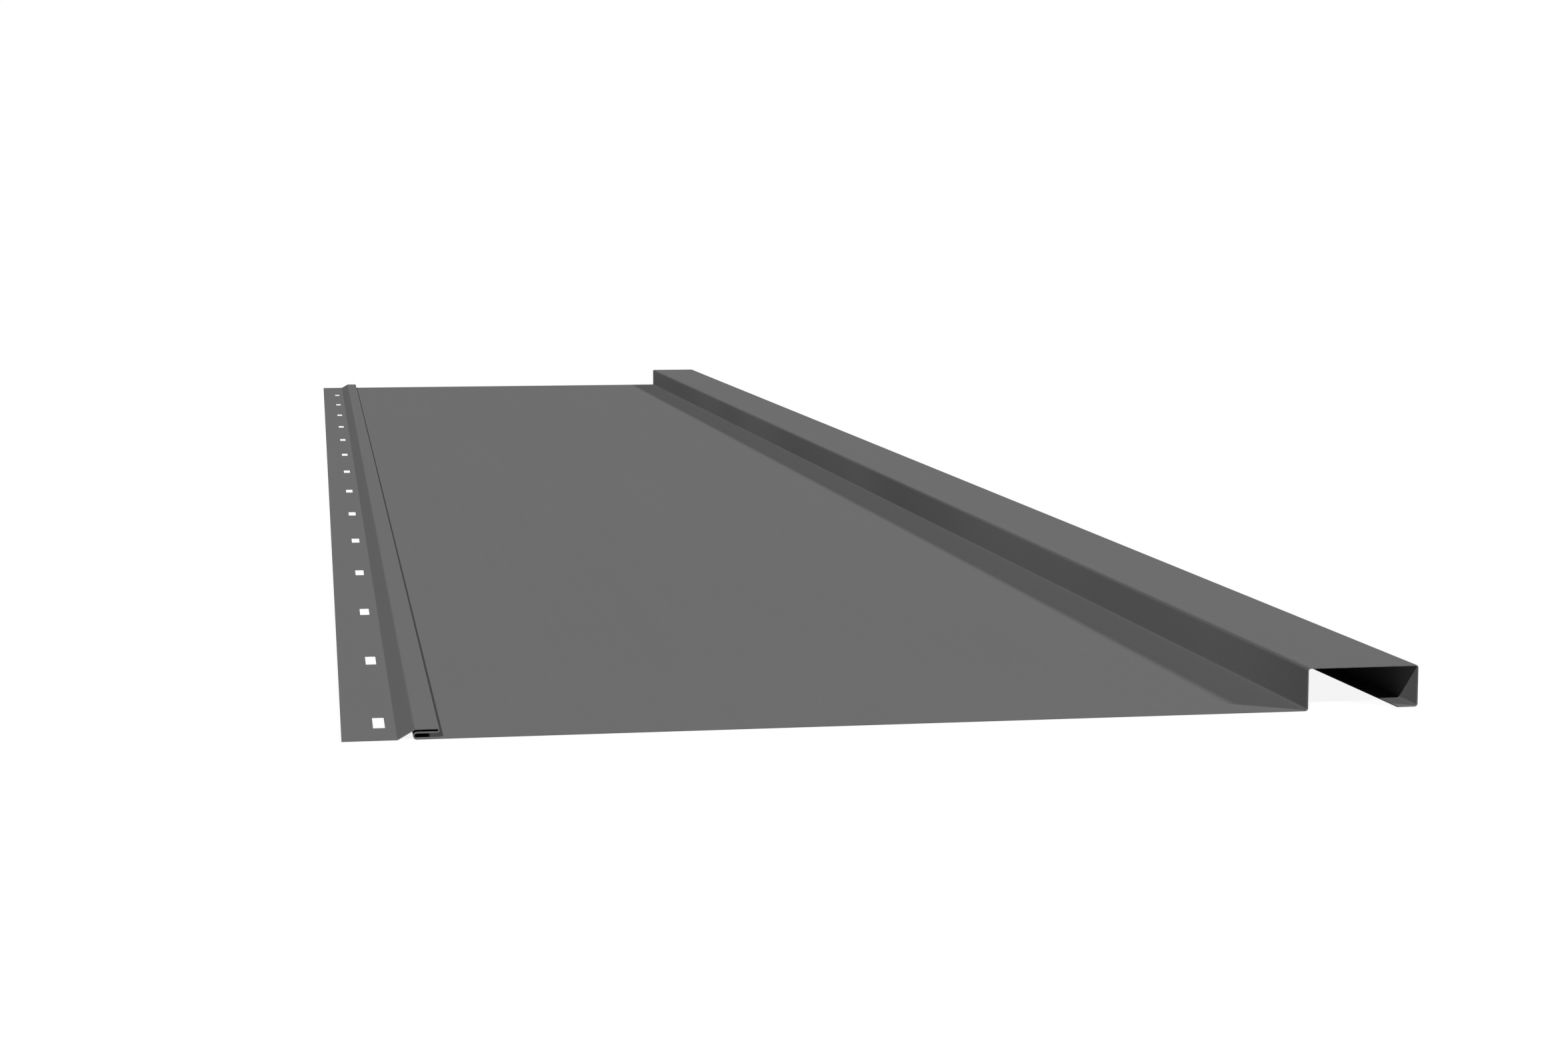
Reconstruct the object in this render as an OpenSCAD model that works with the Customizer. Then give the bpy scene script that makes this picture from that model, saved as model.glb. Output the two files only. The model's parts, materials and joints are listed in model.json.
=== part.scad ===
// Standing-rib cladding panel, roll-formed from one coil strip of thin coated steel.
// The strip is followed from its nail edge to its lip edge as a chain of flats and bends,
// and that section is drawn out along the length. The fastening slots are punched through it.
// X is the panel's width, Y its length and Z is up. It lies face up, and the flange and the
// pan's back are at Z = 0.

/* [Panel] */
// Length the panel is cut to
panel_length = 2255; // [400:5:6000]
// Cover width, from one panel to the same place on the next
cover_width = 406.4; // [250:0.1:600]
// Thickness of the coated sheet
sheet_t = 0.475; // [0.4:0.025:0.7]
// Inner radius of the ordinary bends
bend_r = 0.9; // [0.5:0.1:2]

/* [Nail flange] */
// Flat width of the nail flange, from its edge to the foot of the slope
flange_width = 21.8; // [18:0.1:40]
// Width across one slot
slot_width = 4.8; // [3:0.1:7]
// Length of one slot, along the panel
slot_length = 25.4; // [10:0.1:60]
// Distance between the centres of neighbouring slots
slot_pitch = 160; // [80:1:400]
// From the panel's near end to the centre of the first slot
slot_start = 37.5; // [35:0.5:80]
// Least distance from the last slot's centre to the panel's far end
slot_end_min = 35; // [35:1:80]
// From the nail edge to the centre line of the slots
slot_inset = 15.2; // [6:0.1:15.5]

/* [Hem and pocket] */
// Angle of the slope between the nail flange and the hem
slope_angle = 30; // [20:1:45]
// Clear height of the pocket that takes the next panel's lip
pocket_height = 2; // [1.6:0.1:4]
// Clear height inside the open fold on top of the pocket
hem_gap = 1; // [0.8:0.1:3]
// Width of the hem, over the outsides of its two folds
hem_width = 10.4; // [8:0.1:16]
// Clearance between the slope's underside and the pocket's closed end
slope_gap = 1; // [0.5:0.1:2]

/* [Rib] */
// Height of the rib's top above the pan's back
rib_height = 18.3; // [12:0.1:45]

/* [Fit to the next panel] */
// Clearance between the rib's left wall and the next panel's nail edge
flange_gap = 8.9; // [2:0.1:14]
// Clearance between the rib's right wall and the next panel's hem
hem_clearance = 0.4; // [0.1:0.1:1]
// Clearance between the lip's edge and the closed end of the next panel's pocket
lip_gap = 1.8; // [0.5:0.1:3]
// Clearance between the lip's underside and the next panel's pan
lip_lift = 0.05; // [0:0.05:0.4]

/* [Hidden] */
$fn = 48;
sheet_colour = "#6e6e6e";
cut_through = 1;

// Radii on the sheet's centre line, for an ordinary bend and for the two folds
mid_r = bend_r + sheet_t / 2;
pocket_r = (pocket_height + sheet_t) / 2;
fold_r = (hem_gap + sheet_t) / 2;

// Heights of the sheet's centre line, from the lowest layer to the rib's top
pan_z = sheet_t / 2;
lip_z = pan_z + sheet_t + lip_lift;
hem_z = pan_z + 2 * pocket_r;
crown_z = hem_z + 2 * fold_r;
rib_z = rib_height - sheet_t / 2;

// Places of the sheet's centre line across the width, measured from the nail edge
crown_left = flange_width + (crown_z - pan_z) / tan(slope_angle);
slope_to_fold = pocket_r * (1 + cos(slope_angle)) + sheet_t + slope_gap;
pocket_left = flange_width + slope_to_fold / sin(slope_angle) - pocket_r;
hem_right = pocket_left + hem_width - sheet_t;
rib_left = cover_width - flange_gap - sheet_t / 2;
rib_right = cover_width + hem_right + sheet_t + hem_clearance;
lip_edge = cover_width + pocket_left + sheet_t / 2 + lip_gap;
panel_width = rib_right + sheet_t / 2;

slot_count = floor((panel_length - slot_start - slot_end_min) / slot_pitch) + 1;

// The strip's corners on its centre line, in order: across, up and the radius that rounds it.
// A fold is two corners, one fold diameter apart, which round into a half circle.
CHAIN = [
    [0, pan_z, 0],
    [flange_width, pan_z, mid_r],
    [crown_left, crown_z, mid_r],
    [hem_right, crown_z, fold_r],
    [hem_right, hem_z, fold_r],
    [pocket_left, hem_z, pocket_r],
    [pocket_left, pan_z, pocket_r],
    [rib_left, pan_z, mid_r],
    [rib_left, rib_z, mid_r],
    [rib_right, rib_z, mid_r],
    [rib_right, lip_z, mid_r],
    [lip_edge, lip_z, 0],
];
LAST = len(CHAIN) - 1;

function point(i) = [CHAIN[i][0], CHAIN[i][1]];
function heading(i) = let (d = point(i + 1) - point(i)) atan2(d[1], d[0]);
function wrapped(a) = a > 180 ? a - 360 : a < -180 ? a + 360 : a;
function turn(i) = i == 0 || i == LAST ? 0 : wrapped(heading(i) - heading(i - 1));
function tangent(i) = CHAIN[i][2] * tan(abs(turn(i)) / 2);
function flat_length(i) = norm(point(i + 1) - point(i)) - tangent(i) - tangent(i + 1);

// The strip from corner i onwards. It starts along X where the flat after that corner starts,
// and each flat and each bend carries the rest of the strip with it, as the real fold does.
module strip_from(i) {
    length = flat_length(i);
    if (length > 0.001)
        translate([0, -sheet_t / 2])
            square([length, sheet_t]);
    if (i + 1 < LAST)
        translate([max(length, 0), 0])
            bend_into(turn(i + 1), CHAIN[i + 1][2])
                strip_from(i + 1);
}

// A bend that starts at the origin along X, with what follows it placed at its end
module bend_into(angle, r) {
    side = sign(angle);
    translate([0, side * r])
        mirror([0, side > 0 ? 0 : 1])
            sector(r - sheet_t / 2, r + sheet_t / 2, abs(angle));
    translate([0, side * r])
        rotate(angle)
            translate([0, -side * r])
                children();
}

// Part of a ring, from straight below its centre anticlockwise, at most a quarter turn
module sector(inner, outer, angle) {
    difference() {
        circle(outer);
        circle(inner);
        translate([-2 * outer, -2 * outer])
            square([2 * outer, 4 * outer]);
        rotate(angle)
            translate([0, -2 * outer])
                square([2 * outer, 4 * outer]);
    }
}

module section() {
    translate(point(0))
        strip_from(0);
}

module slots() {
    for (i = [0 : slot_count - 1])
        translate([slot_inset, slot_start + i * slot_pitch - panel_length / 2, sheet_t / 2])
            cube([slot_width, slot_length, sheet_t + 2 * cut_through], center = true);
}

module panel() {
    color(sheet_colour)
        translate([-panel_width / 2, 0, 0])
            difference() {
                translate([0, panel_length / 2, 0])
                    rotate([90, 0, 0])
                        linear_extrude(panel_length)
                            section();
                slots();
            }
}

panel();
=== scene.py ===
# %% [markdown]
# # A standing-rib cladding panel, step by step
# The object is one long sheet of thin coated steel, folded by rollers into a slotted nail
# flange, a hem over a pocket, a wide flat pan and a hollow rib with a return lip.
# Its shape comes exact from the CAD frame and isn't touched here. What is left for Blender is
# how it looks: the camera, the light, and the finish of matt paint and cut steel that makes
# a folded sheet readable. Lengths are in metres and angles in radians, unless a name says
# otherwise.

# %% Load the frame
import json
import math

import bpy
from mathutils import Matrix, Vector


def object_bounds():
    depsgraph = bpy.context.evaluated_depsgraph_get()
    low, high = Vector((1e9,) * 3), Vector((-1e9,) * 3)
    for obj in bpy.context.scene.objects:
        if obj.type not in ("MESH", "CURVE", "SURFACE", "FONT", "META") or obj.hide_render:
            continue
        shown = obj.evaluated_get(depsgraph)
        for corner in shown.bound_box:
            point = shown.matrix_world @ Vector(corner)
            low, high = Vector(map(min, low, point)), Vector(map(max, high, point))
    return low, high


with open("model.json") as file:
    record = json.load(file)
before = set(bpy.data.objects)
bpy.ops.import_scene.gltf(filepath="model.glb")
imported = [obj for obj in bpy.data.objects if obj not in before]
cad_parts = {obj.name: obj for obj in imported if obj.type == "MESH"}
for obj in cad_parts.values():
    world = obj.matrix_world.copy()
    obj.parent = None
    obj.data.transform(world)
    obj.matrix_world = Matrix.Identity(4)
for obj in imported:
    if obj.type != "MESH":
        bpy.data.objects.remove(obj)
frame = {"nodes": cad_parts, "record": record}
cad_low, cad_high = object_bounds()
panel = frame["nodes"]["panel"]

# %% [markdown]
# ## The camera
# The photograph was taken with a normal-long lens from about a metre before the near end, a
# little above the sheet, and turned to the right, so that the long edges run together
# towards the far end. One way is to aim the camera by eye. A panel with long parallel edges
# allows a better one: where those edges would meet fixes the lens, the turn and the dip, so
# the camera is set in numbers and each fold lands where it should.

# %% Place the camera
SENSOR_WIDTH_MM = 36.0
LENS_MM = 63.03
CAMERA_FROM_CORNER = Vector((-0.006357, -1.074924, 0.205229))
TURN_RIGHT = 0.168246
DIP = 0.111322
ROLL = 0.000504
NEAREST_SEEN = 0.01
FARTHEST_SEEN = 200.0

near_left_corner = Vector(cad_low)
camera_data = bpy.data.cameras.new("view_camera")
camera_data.sensor_width = SENSOR_WIDTH_MM
camera_data.lens = LENS_MM
camera_data.clip_start = NEAREST_SEEN
camera_data.clip_end = FARTHEST_SEEN
camera = bpy.data.objects.new("view_camera", camera_data)
bpy.context.scene.collection.objects.link(camera)
camera.location = near_left_corner + CAMERA_FROM_CORNER
camera.rotation_euler = (math.pi / 2 - DIP, ROLL, -TURN_RIGHT)
bpy.context.scene.camera = camera
print("camera at", [round(v, 4) for v in camera.location])

# %% [markdown]
# ## Two kinds of ray
# A white ground and an even light pull against each other. A floor or a sky bright enough to
# look white also pours light on the sheet from all sides and washes its folds out. Cycles
# tells a material which kind of ray has met it, so the ground can answer with white where
# somebody looks at it, also in a reflection or through glass, and with little where it would
# only light the sheet.

# %% Tell the rays apart
def seen_directly(nodes, links):
    """1 for rays from the camera, from a reflection or through glass, else 0"""
    path = nodes.new("ShaderNodeLightPath")
    seen = path.outputs["Is Camera Ray"]
    for name in ("Is Glossy Ray", "Is Transmission Ray"):
        larger = nodes.new("ShaderNodeMath")
        larger.operation = "MAXIMUM"
        links.new(seen, larger.inputs[0])
        links.new(path.outputs[name], larger.inputs[1])
        seen = larger.outputs[0]
    return seen


print("the ground is white for camera, glossy and transmission rays")

# %% [markdown]
# ## The floor
# The panel lies on its back on a level studio floor. What the viewer sees of it is mostly
# white glow, mixed with a share of ordinary matt white, and that share is what keeps the
# panel's shadow. The sheet itself meets another floor: a matt grey with a faint glow, which
# stands for the little light that a studio floor throws up under an object and keeps the
# inside of the rib from going quite black.

# %% Mix the floor's paint
WHITE = (1.0, 1.0, 1.0, 1.0)
FLOOR_GREY = (0.25, 0.25, 0.25, 1.0)
GLOW_SHARE = 0.9
LIGHT_FROM_FLOOR = 0.05

floor_paint = bpy.data.materials.new("floor_white")
floor_paint.use_nodes = True
nodes, links = floor_paint.node_tree.nodes, floor_paint.node_tree.links
nodes.clear()

matt_grey = nodes.new("ShaderNodeBsdfDiffuse")
matt_grey.inputs["Color"].default_value = FLOOR_GREY
faint_glow = nodes.new("ShaderNodeEmission")
faint_glow.inputs["Strength"].default_value = LIGHT_FROM_FLOOR
met_by_sheet = nodes.new("ShaderNodeAddShader")
links.new(matt_grey.outputs[0], met_by_sheet.inputs[0])
links.new(faint_glow.outputs[0], met_by_sheet.inputs[1])

matt_white = nodes.new("ShaderNodeBsdfDiffuse")
matt_white.inputs["Color"].default_value = WHITE
glow = nodes.new("ShaderNodeEmission")
met_by_viewer = nodes.new("ShaderNodeMixShader")
met_by_viewer.inputs["Fac"].default_value = GLOW_SHARE
links.new(matt_white.outputs[0], met_by_viewer.inputs[1])
links.new(glow.outputs[0], met_by_viewer.inputs[2])

by_ray = nodes.new("ShaderNodeMixShader")
links.new(seen_directly(nodes, links), by_ray.inputs["Fac"])
links.new(met_by_sheet.outputs[0], by_ray.inputs[1])
links.new(met_by_viewer.outputs[0], by_ray.inputs[2])
floor_output = nodes.new("ShaderNodeOutputMaterial")
links.new(by_ray.outputs[0], floor_output.inputs["Surface"])
print("floor paint has", len(nodes), "nodes")

# %% [markdown]
# ## Laying the floor
# One big square at the height of the panel's back is enough.

# %% Lay the floor
FLOOR_SIZE = 60.0

bpy.ops.mesh.primitive_plane_add(size=FLOOR_SIZE, location=(0, 0, cad_low.z))
floor = bpy.context.object
floor.name = "floor"
floor.data.materials.append(floor_paint)
print("floor is", FLOOR_SIZE, "m wide at z =", round(floor.location.z, 5))

# %% [markdown]
# ## The sky
# The world plays the same two parts as the floor. Seen directly it is white, so the ground
# runs on past the horizon without a line. To the sheet it is a dim even fill, just enough
# that a face which no lamp reaches still has a tone of its own.

# %% Set the sky
SKY_FILL = 0.02

world = bpy.data.worlds.new("studio")
bpy.context.scene.world = world
world.use_nodes = True
nodes, links = world.node_tree.nodes, world.node_tree.links
nodes.clear()
fill = nodes.new("ShaderNodeBackground")
fill.inputs["Strength"].default_value = SKY_FILL
white_sky = nodes.new("ShaderNodeBackground")
white_sky.inputs["Color"].default_value = WHITE
sky_by_ray = nodes.new("ShaderNodeMixShader")
links.new(seen_directly(nodes, links), sky_by_ray.inputs["Fac"])
links.new(fill.outputs[0], sky_by_ray.inputs[1])
links.new(white_sky.outputs[0], sky_by_ray.inputs[2])
world_output = nodes.new("ShaderNodeOutputWorld")
links.new(sky_by_ray.outputs[0], world_output.inputs["Surface"])
bpy.context.scene.view_settings.view_transform = "Standard"
print("sky fill", SKY_FILL)

# %% [markdown]
# ## Two lamps from the viewer's side
# A folded sheet of one colour is readable only because each flat turns another way to the
# light. The photograph has two lamps, both from the viewer's side: a broad one from the right,
# whose soft shadow of the rib lies on the pan, and a small one from the left, which lights
# that shadow, the slope and the walls that face left. Both are sun lamps, whose light is the
# same wherever they hang, so their place only shows where the light comes from.
#
# Each lamp is given by the way its light moves for every metre that it drops, because that is
# what a shadow's edge shows, and by its share of the light on a level surface. The shares and
# the sky's fill add up to one, so a level surface renders in just the colour that its paint
# is written in.

# %% Hang the lamps
LAMP_DISTANCE = 2.0


def add_lamp(name, moves_x, moves_y, level_share, spread_degrees):
    """A lamp whose light moves by moves_x and moves_y metres while it drops by one metre"""
    travel = Vector((moves_x, moves_y, -1.0))
    steepness = 1.0 / travel.length
    lamp_data = bpy.data.lights.new(name, "SUN")
    lamp_data.energy = level_share * math.pi / steepness
    lamp_data.angle = math.radians(spread_degrees)
    lamp = bpy.data.objects.new(name, lamp_data)
    bpy.context.scene.collection.objects.link(lamp)
    lamp.rotation_mode = "QUATERNION"
    lamp.rotation_quaternion = travel.to_track_quat("-Z", "Y")
    lamp.location = -LAMP_DISTANCE * travel.normalized()
    print(name, "strength", round(lamp_data.energy, 3))


add_lamp("broad_lamp_right", moves_x=-1.52, moves_y=1.1, level_share=0.39, spread_degrees=4.5)
add_lamp("small_lamp_left", moves_x=0.51, moves_y=1.16, level_share=0.59, spread_degrees=1.0)

# %% [markdown]
# ## The coating
# The sheet is painted on the coil before it is folded, with a dead-matt mid-grey coat on
# both faces. The shader starts as one Principled BSDF, whose even values go straight on its
# own sockets. The gloss level is very low on purpose: the camera looks along the sheet at a
# glancing angle, where even a weak gloss would mirror the white ground and lift the far end.

# %% Start the coating
COAT_COLOUR = 0.155
COAT_ROUGHNESS = 0.9
COAT_GLOSS_LEVEL = 0.0005

coating = bpy.data.materials.new("matt_coil_coating")
coating.use_nodes = True
nodes, links = coating.node_tree.nodes, coating.node_tree.links
nodes.clear()
coat = nodes.new("ShaderNodeBsdfPrincipled")
coat.inputs["Specular IOR Level"].default_value = COAT_GLOSS_LEVEL
output = nodes.new("ShaderNodeOutputMaterial")
links.new(coat.outputs[0], output.inputs["Surface"])
place = nodes.new("ShaderNodeTexCoord")
print("coat grey", COAT_COLOUR, "roughness about", COAT_ROUGHNESS)

# %% [markdown]
# ## The coat's textures
# From afar such a coat is a plain even grey. Close by it has a fine stipple, soft clouds
# where it went on a little thicker, and faint streaks along the rolling direction. A painted
# picture of all this would need the long sheet unwrapped. Noise in the object's own
# coordinates needs neither, and a streak is the same noise drawn out along the length.

# %% Draw the coat's textures
STIPPLE_SIZE = 0.0009
STREAK_SIZE = 0.006
STREAK_TIMES_LONGER = 90.0
CLOUD_SIZE = 0.12
CLOUD_TIMES_LONGER = 2.5
USUAL_DETAIL = 2.0
STREAK_DETAIL = 3.0


def noise(size, stretch=(1.0, 1.0, 1.0), detail=USUAL_DETAIL, shift=0.0):
    """Noise with grains of about this size, drawn out by stretch and moved along by shift grains"""
    scaled = nodes.new("ShaderNodeMapping")
    scaled.inputs["Scale"].default_value = [1.0 / (size * times) for times in stretch]
    scaled.inputs["Location"].default_value.y = shift
    links.new(place.outputs["Object"], scaled.inputs["Vector"])
    texture = nodes.new("ShaderNodeTexNoise")
    texture.inputs["Scale"].default_value = 1.0
    texture.inputs["Detail"].default_value = detail
    links.new(scaled.outputs["Vector"], texture.inputs["Vector"])
    return texture.outputs["Fac"]


stipple = noise(STIPPLE_SIZE)
streaks = noise(STREAK_SIZE, stretch=(1.0, STREAK_TIMES_LONGER, 1.0), detail=STREAK_DETAIL)
clouds = noise(CLOUD_SIZE, stretch=(1.0, CLOUD_TIMES_LONGER, 1.0))
print("coating textures:", sum(n.type == "TEX_NOISE" for n in nodes))

# %% [markdown]
# ## Small sums with nodes
# Noise comes out between about a quarter and three quarters. To use it on paint it has to
# become a factor that swings a little around one, and several such factors have to be
# multiplied. Math and Map Range nodes do that, and two helpers keep each sum on one line.

# %% Make helpers for sums
NOISE_LOW, NOISE_HIGH = 0.25, 0.75


def swing(value, share):
    """Turns noise into a factor that swings by share around 1"""
    reach = nodes.new("ShaderNodeMapRange")
    reach.inputs["From Min"].default_value = NOISE_LOW
    reach.inputs["From Max"].default_value = NOISE_HIGH
    reach.inputs["To Min"].default_value = 1.0 - share
    reach.inputs["To Max"].default_value = 1.0 + share
    links.new(value, reach.inputs["Value"])
    return reach.outputs["Result"]


def combine(operation, first, second):
    """first and second, each a socket or a number, joined by a sum, a product or a test"""
    joined = nodes.new("ShaderNodeMath")
    joined.operation = operation
    for socket, value in zip(joined.inputs, (first, second)):
        if isinstance(value, float):
            socket.default_value = value
        else:
            links.new(value, socket)
    return joined.outputs[0]


print("noise is taken to run from", NOISE_LOW, "to", NOISE_HIGH)

# %% [markdown]
# ## Tone and gloss of the coat
# The tone may wander only by a percent or so, or the sheet stops looking like one coil.
# Streaks, clouds and stipple are multiplied into the grey. Streaks and clouds also move the
# roughness, and the minus sign makes a lighter streak the smoother one. On a coat as matt as
# this that hardly shows, but it will if somebody raises the gloss level.

# %% Mix tone and gloss
STREAK_TONE = 0.010
CLOUD_TONE = 0.008
STIPPLE_TONE = 0.025
CLOUD_DULLNESS = 0.04
STREAK_DULLNESS = -0.02

tone = combine("MULTIPLY", swing(streaks, STREAK_TONE), swing(clouds, CLOUD_TONE))
tone = combine("MULTIPLY", tone, swing(stipple, STIPPLE_TONE))
coat_grey = combine("MULTIPLY", tone, COAT_COLOUR)
dullness = combine("MULTIPLY", swing(clouds, CLOUD_DULLNESS), swing(streaks, STREAK_DULLNESS))
coat_roughness = combine("MULTIPLY", dullness, COAT_ROUGHNESS)
print("tone and gloss are mixed, with", len(nodes), "nodes so far")

# %% [markdown]
# ## The cut edges
# The ends are sheared and the slots are punched after painting, so their faces have no coat:
# they show the steel and its zinc, a grey a little darker than the paint. The sheet is one
# mesh with one material, so cut faces are picked out by where they lie and which way they
# face. An end faces along the panel. A slot's side, the nail edge and the lip's edge face
# across it, low down, at three known places.

# %% Make tests for places
mounts = {mount["name"]: mount["pos_m"] for mount in frame["record"]["mounts"]}
slot_x = mounts["nail_slot_01"][0]
lip_x = mounts["rib_lip"][0]
facing = nodes.new("ShaderNodeSeparateXYZ")
links.new(place.outputs["Normal"], facing.inputs["Vector"])
where = nodes.new("ShaderNodeSeparateXYZ")
links.new(place.outputs["Object"], where.inputs["Vector"])


def near_plane(value, middle, reach):
    """1 where value lies within reach of middle, else 0"""
    test = nodes.new("ShaderNodeMath")
    test.operation = "COMPARE"
    links.new(value, test.inputs[0])
    test.inputs[1].default_value = middle
    test.inputs[2].default_value = reach
    return test.outputs[0]


def size_of(value):
    """value without its sign"""
    made = nodes.new("ShaderNodeMath")
    made.operation = "ABSOLUTE"
    links.new(value, made.inputs[0])
    return made.outputs[0]


print("slots at x =", round(slot_x, 4), "and lip edge at x =", round(lip_x, 4))

# %% [markdown]
# ## The mask of cut faces
# Each test gives 0 or 1, so a product means "and" and a maximum means "or". The result is
# one mask that is 1 on bare steel and 0 on paint.

# %% Find the cut faces
SLOT_WIDTH = 0.0048
CUT_EDGE_REACH = 0.0003
CUT_EDGE_TOP = 0.0012
FACES_THAT_WAY = 0.9
HEIGHT_OF_BACK = 0.0

faces_end = combine("GREATER_THAN", size_of(facing.outputs["Y"]), FACES_THAT_WAY)
faces_side = combine("GREATER_THAN", size_of(facing.outputs["X"]), FACES_THAT_WAY)
at_slot = near_plane(where.outputs["X"], slot_x, SLOT_WIDTH / 2 + CUT_EDGE_REACH)
at_nail_edge = near_plane(where.outputs["X"], cad_low.x, CUT_EDGE_REACH)
at_lip_edge = near_plane(where.outputs["X"], lip_x, CUT_EDGE_REACH)
beside = combine("MAXIMUM", at_slot, combine("MAXIMUM", at_nail_edge, at_lip_edge))
low_down = near_plane(where.outputs["Z"], HEIGHT_OF_BACK, CUT_EDGE_TOP)
long_cut = combine("MULTIPLY", faces_side, combine("MULTIPLY", beside, low_down))
is_cut = combine("MAXIMUM", faces_end, long_cut)

# %% [markdown]
# ## One shader for both finishes
# Two materials would need the faces shared out between two slots, and the frame's mesh has
# one slot and stays as it is. A mask that takes every value from coated to cut does the same
# in one material. The cut steel has score marks, drawn out upwards through the thickness as
# a shear leaves them.

# %% Colour both finishes
CUT_GREY = 0.11
CUT_ROUGHNESS = 0.55
SCORE_SIZE = 0.00035
SCORE_TIMES_TALLER = 6.0
SCORE_TONE = 0.08


def choose(coated, cut):
    """coated away from the cut faces, cut on them"""
    pick = nodes.new("ShaderNodeMix")
    links.new(is_cut, pick.inputs["Factor"])
    links.new(coated, pick.inputs["A"])
    if isinstance(cut, float):
        pick.inputs["B"].default_value = cut
    else:
        links.new(cut, pick.inputs["B"])
    return pick.outputs["Result"]


score_marks = noise(SCORE_SIZE, stretch=(1.0, 1.0, SCORE_TIMES_TALLER))
cut_grey = combine("MULTIPLY", swing(score_marks, SCORE_TONE), CUT_GREY)
grey = choose(coat_grey, cut_grey)
colour = nodes.new("ShaderNodeCombineColor")
for channel in ("Red", "Green", "Blue"):
    links.new(grey, colour.inputs[channel])
links.new(colour.outputs["Color"], coat.inputs["Base Color"])
links.new(choose(coat_roughness, CUT_ROUGHNESS), coat.inputs["Roughness"])
print("cut grey", CUT_GREY, "beside coat grey", COAT_COLOUR)

# %% [markdown]
# ## The waves in the rib's walls
# The wall of the rib isn't one even tone in the photograph: it is a little lighter and
# darker over stretches of half a metre or so, as a rolled wall that wanders slightly would
# be. Moving the mesh would change the part, so the waves are bump, made of noise that is
# drawn out so far sideways and upwards that it changes along the length only. How far a face
# looks sideways, raised to a high power, is 1 on the walls and next to nothing on the slope
# and the pan, and it keeps the bump to the walls.

# %% Wave the walls
WAVE_SIZE = 0.75
WAVE_STRETCH = (100.0, 1.0, 100.0)
WAVE_DETAIL = 1.5
WAVE_START = 47.1
WALLS_ONLY_POWER = 6.0

roller_waves = noise(WAVE_SIZE, stretch=WAVE_STRETCH, detail=WAVE_DETAIL, shift=WAVE_START)
on_walls = combine("POWER", size_of(facing.outputs["X"]), WALLS_ONLY_POWER)
print("waves of", WAVE_SIZE, "m along the rib's walls")

# %% [markdown]
# ## The lean of the rib's walls
# The wall is also lighter in all than an upright matt wall under these lamps, as if it leaned
# back towards its top, so a steady fall up the wall is added to the waves. Close to the cut
# ends it is darker, as a wall that stands up straighter there would be. So most of the fall
# is taken away at each end, and that share halves every three centimetres along the panel.
# Waves and fall are far more than a real wall wanders or leans, because it is the tone that
# has to match.

# %% Lean the walls back
WAVE_DEPTH = 0.085
LEAN_BACK = 0.165
LEAN_LOST_AT_END = 0.8
LOSS_HALVES_EVERY = 0.03

from_end = combine("SUBTRACT", cad_high.y, size_of(where.outputs["Y"]))
halved = combine("POWER", 0.5, combine("DIVIDE", from_end, LOSS_HALVES_EVERY))
lean_left = combine("SUBTRACT", 1.0, combine("MULTIPLY", halved, LEAN_LOST_AT_END))
height_left = combine("MULTIPLY", where.outputs["Z"], lean_left)
fall = combine("MULTIPLY", height_left, -LEAN_BACK / WAVE_DEPTH)
leaning = nodes.new("ShaderNodeBump")
leaning.inputs["Distance"].default_value = WAVE_DEPTH
links.new(on_walls, leaning.inputs["Strength"])
links.new(combine("ADD", fall, roller_waves), leaning.inputs["Height"])
print("walls lean back by", round(math.degrees(LEAN_BACK)), "degrees away from the ends")

# %% [markdown]
# ## Fine relief
# Up close, paint is never quite smooth and cut steel is scored. Both reliefs are about a
# hundredth of a millimetre deep, so bump is the right tool, and the mask picks the stipple
# for the coat and the score marks for the cuts. This bump starts from the leaning normal,
# so the two add up.

# %% Roughen the surface
GRAIN_DEPTH = 0.000012
GRAIN_STRENGTH = 0.5

relief = nodes.new("ShaderNodeBump")
relief.inputs["Strength"].default_value = GRAIN_STRENGTH
relief.inputs["Distance"].default_value = GRAIN_DEPTH
links.new(choose(stipple, score_marks), relief.inputs["Height"])
links.new(leaning.outputs["Normal"], relief.inputs["Normal"])
links.new(relief.outputs["Normal"], coat.inputs["Normal"])

# %% [markdown]
# ## On the sheet
# The finished material takes the place of the plain one that came with the frame.

# %% Finish the sheet
panel.material_slots[0].material = coating
print("panel finish:", panel.material_slots[0].material.name, "with", len(nodes), "nodes")
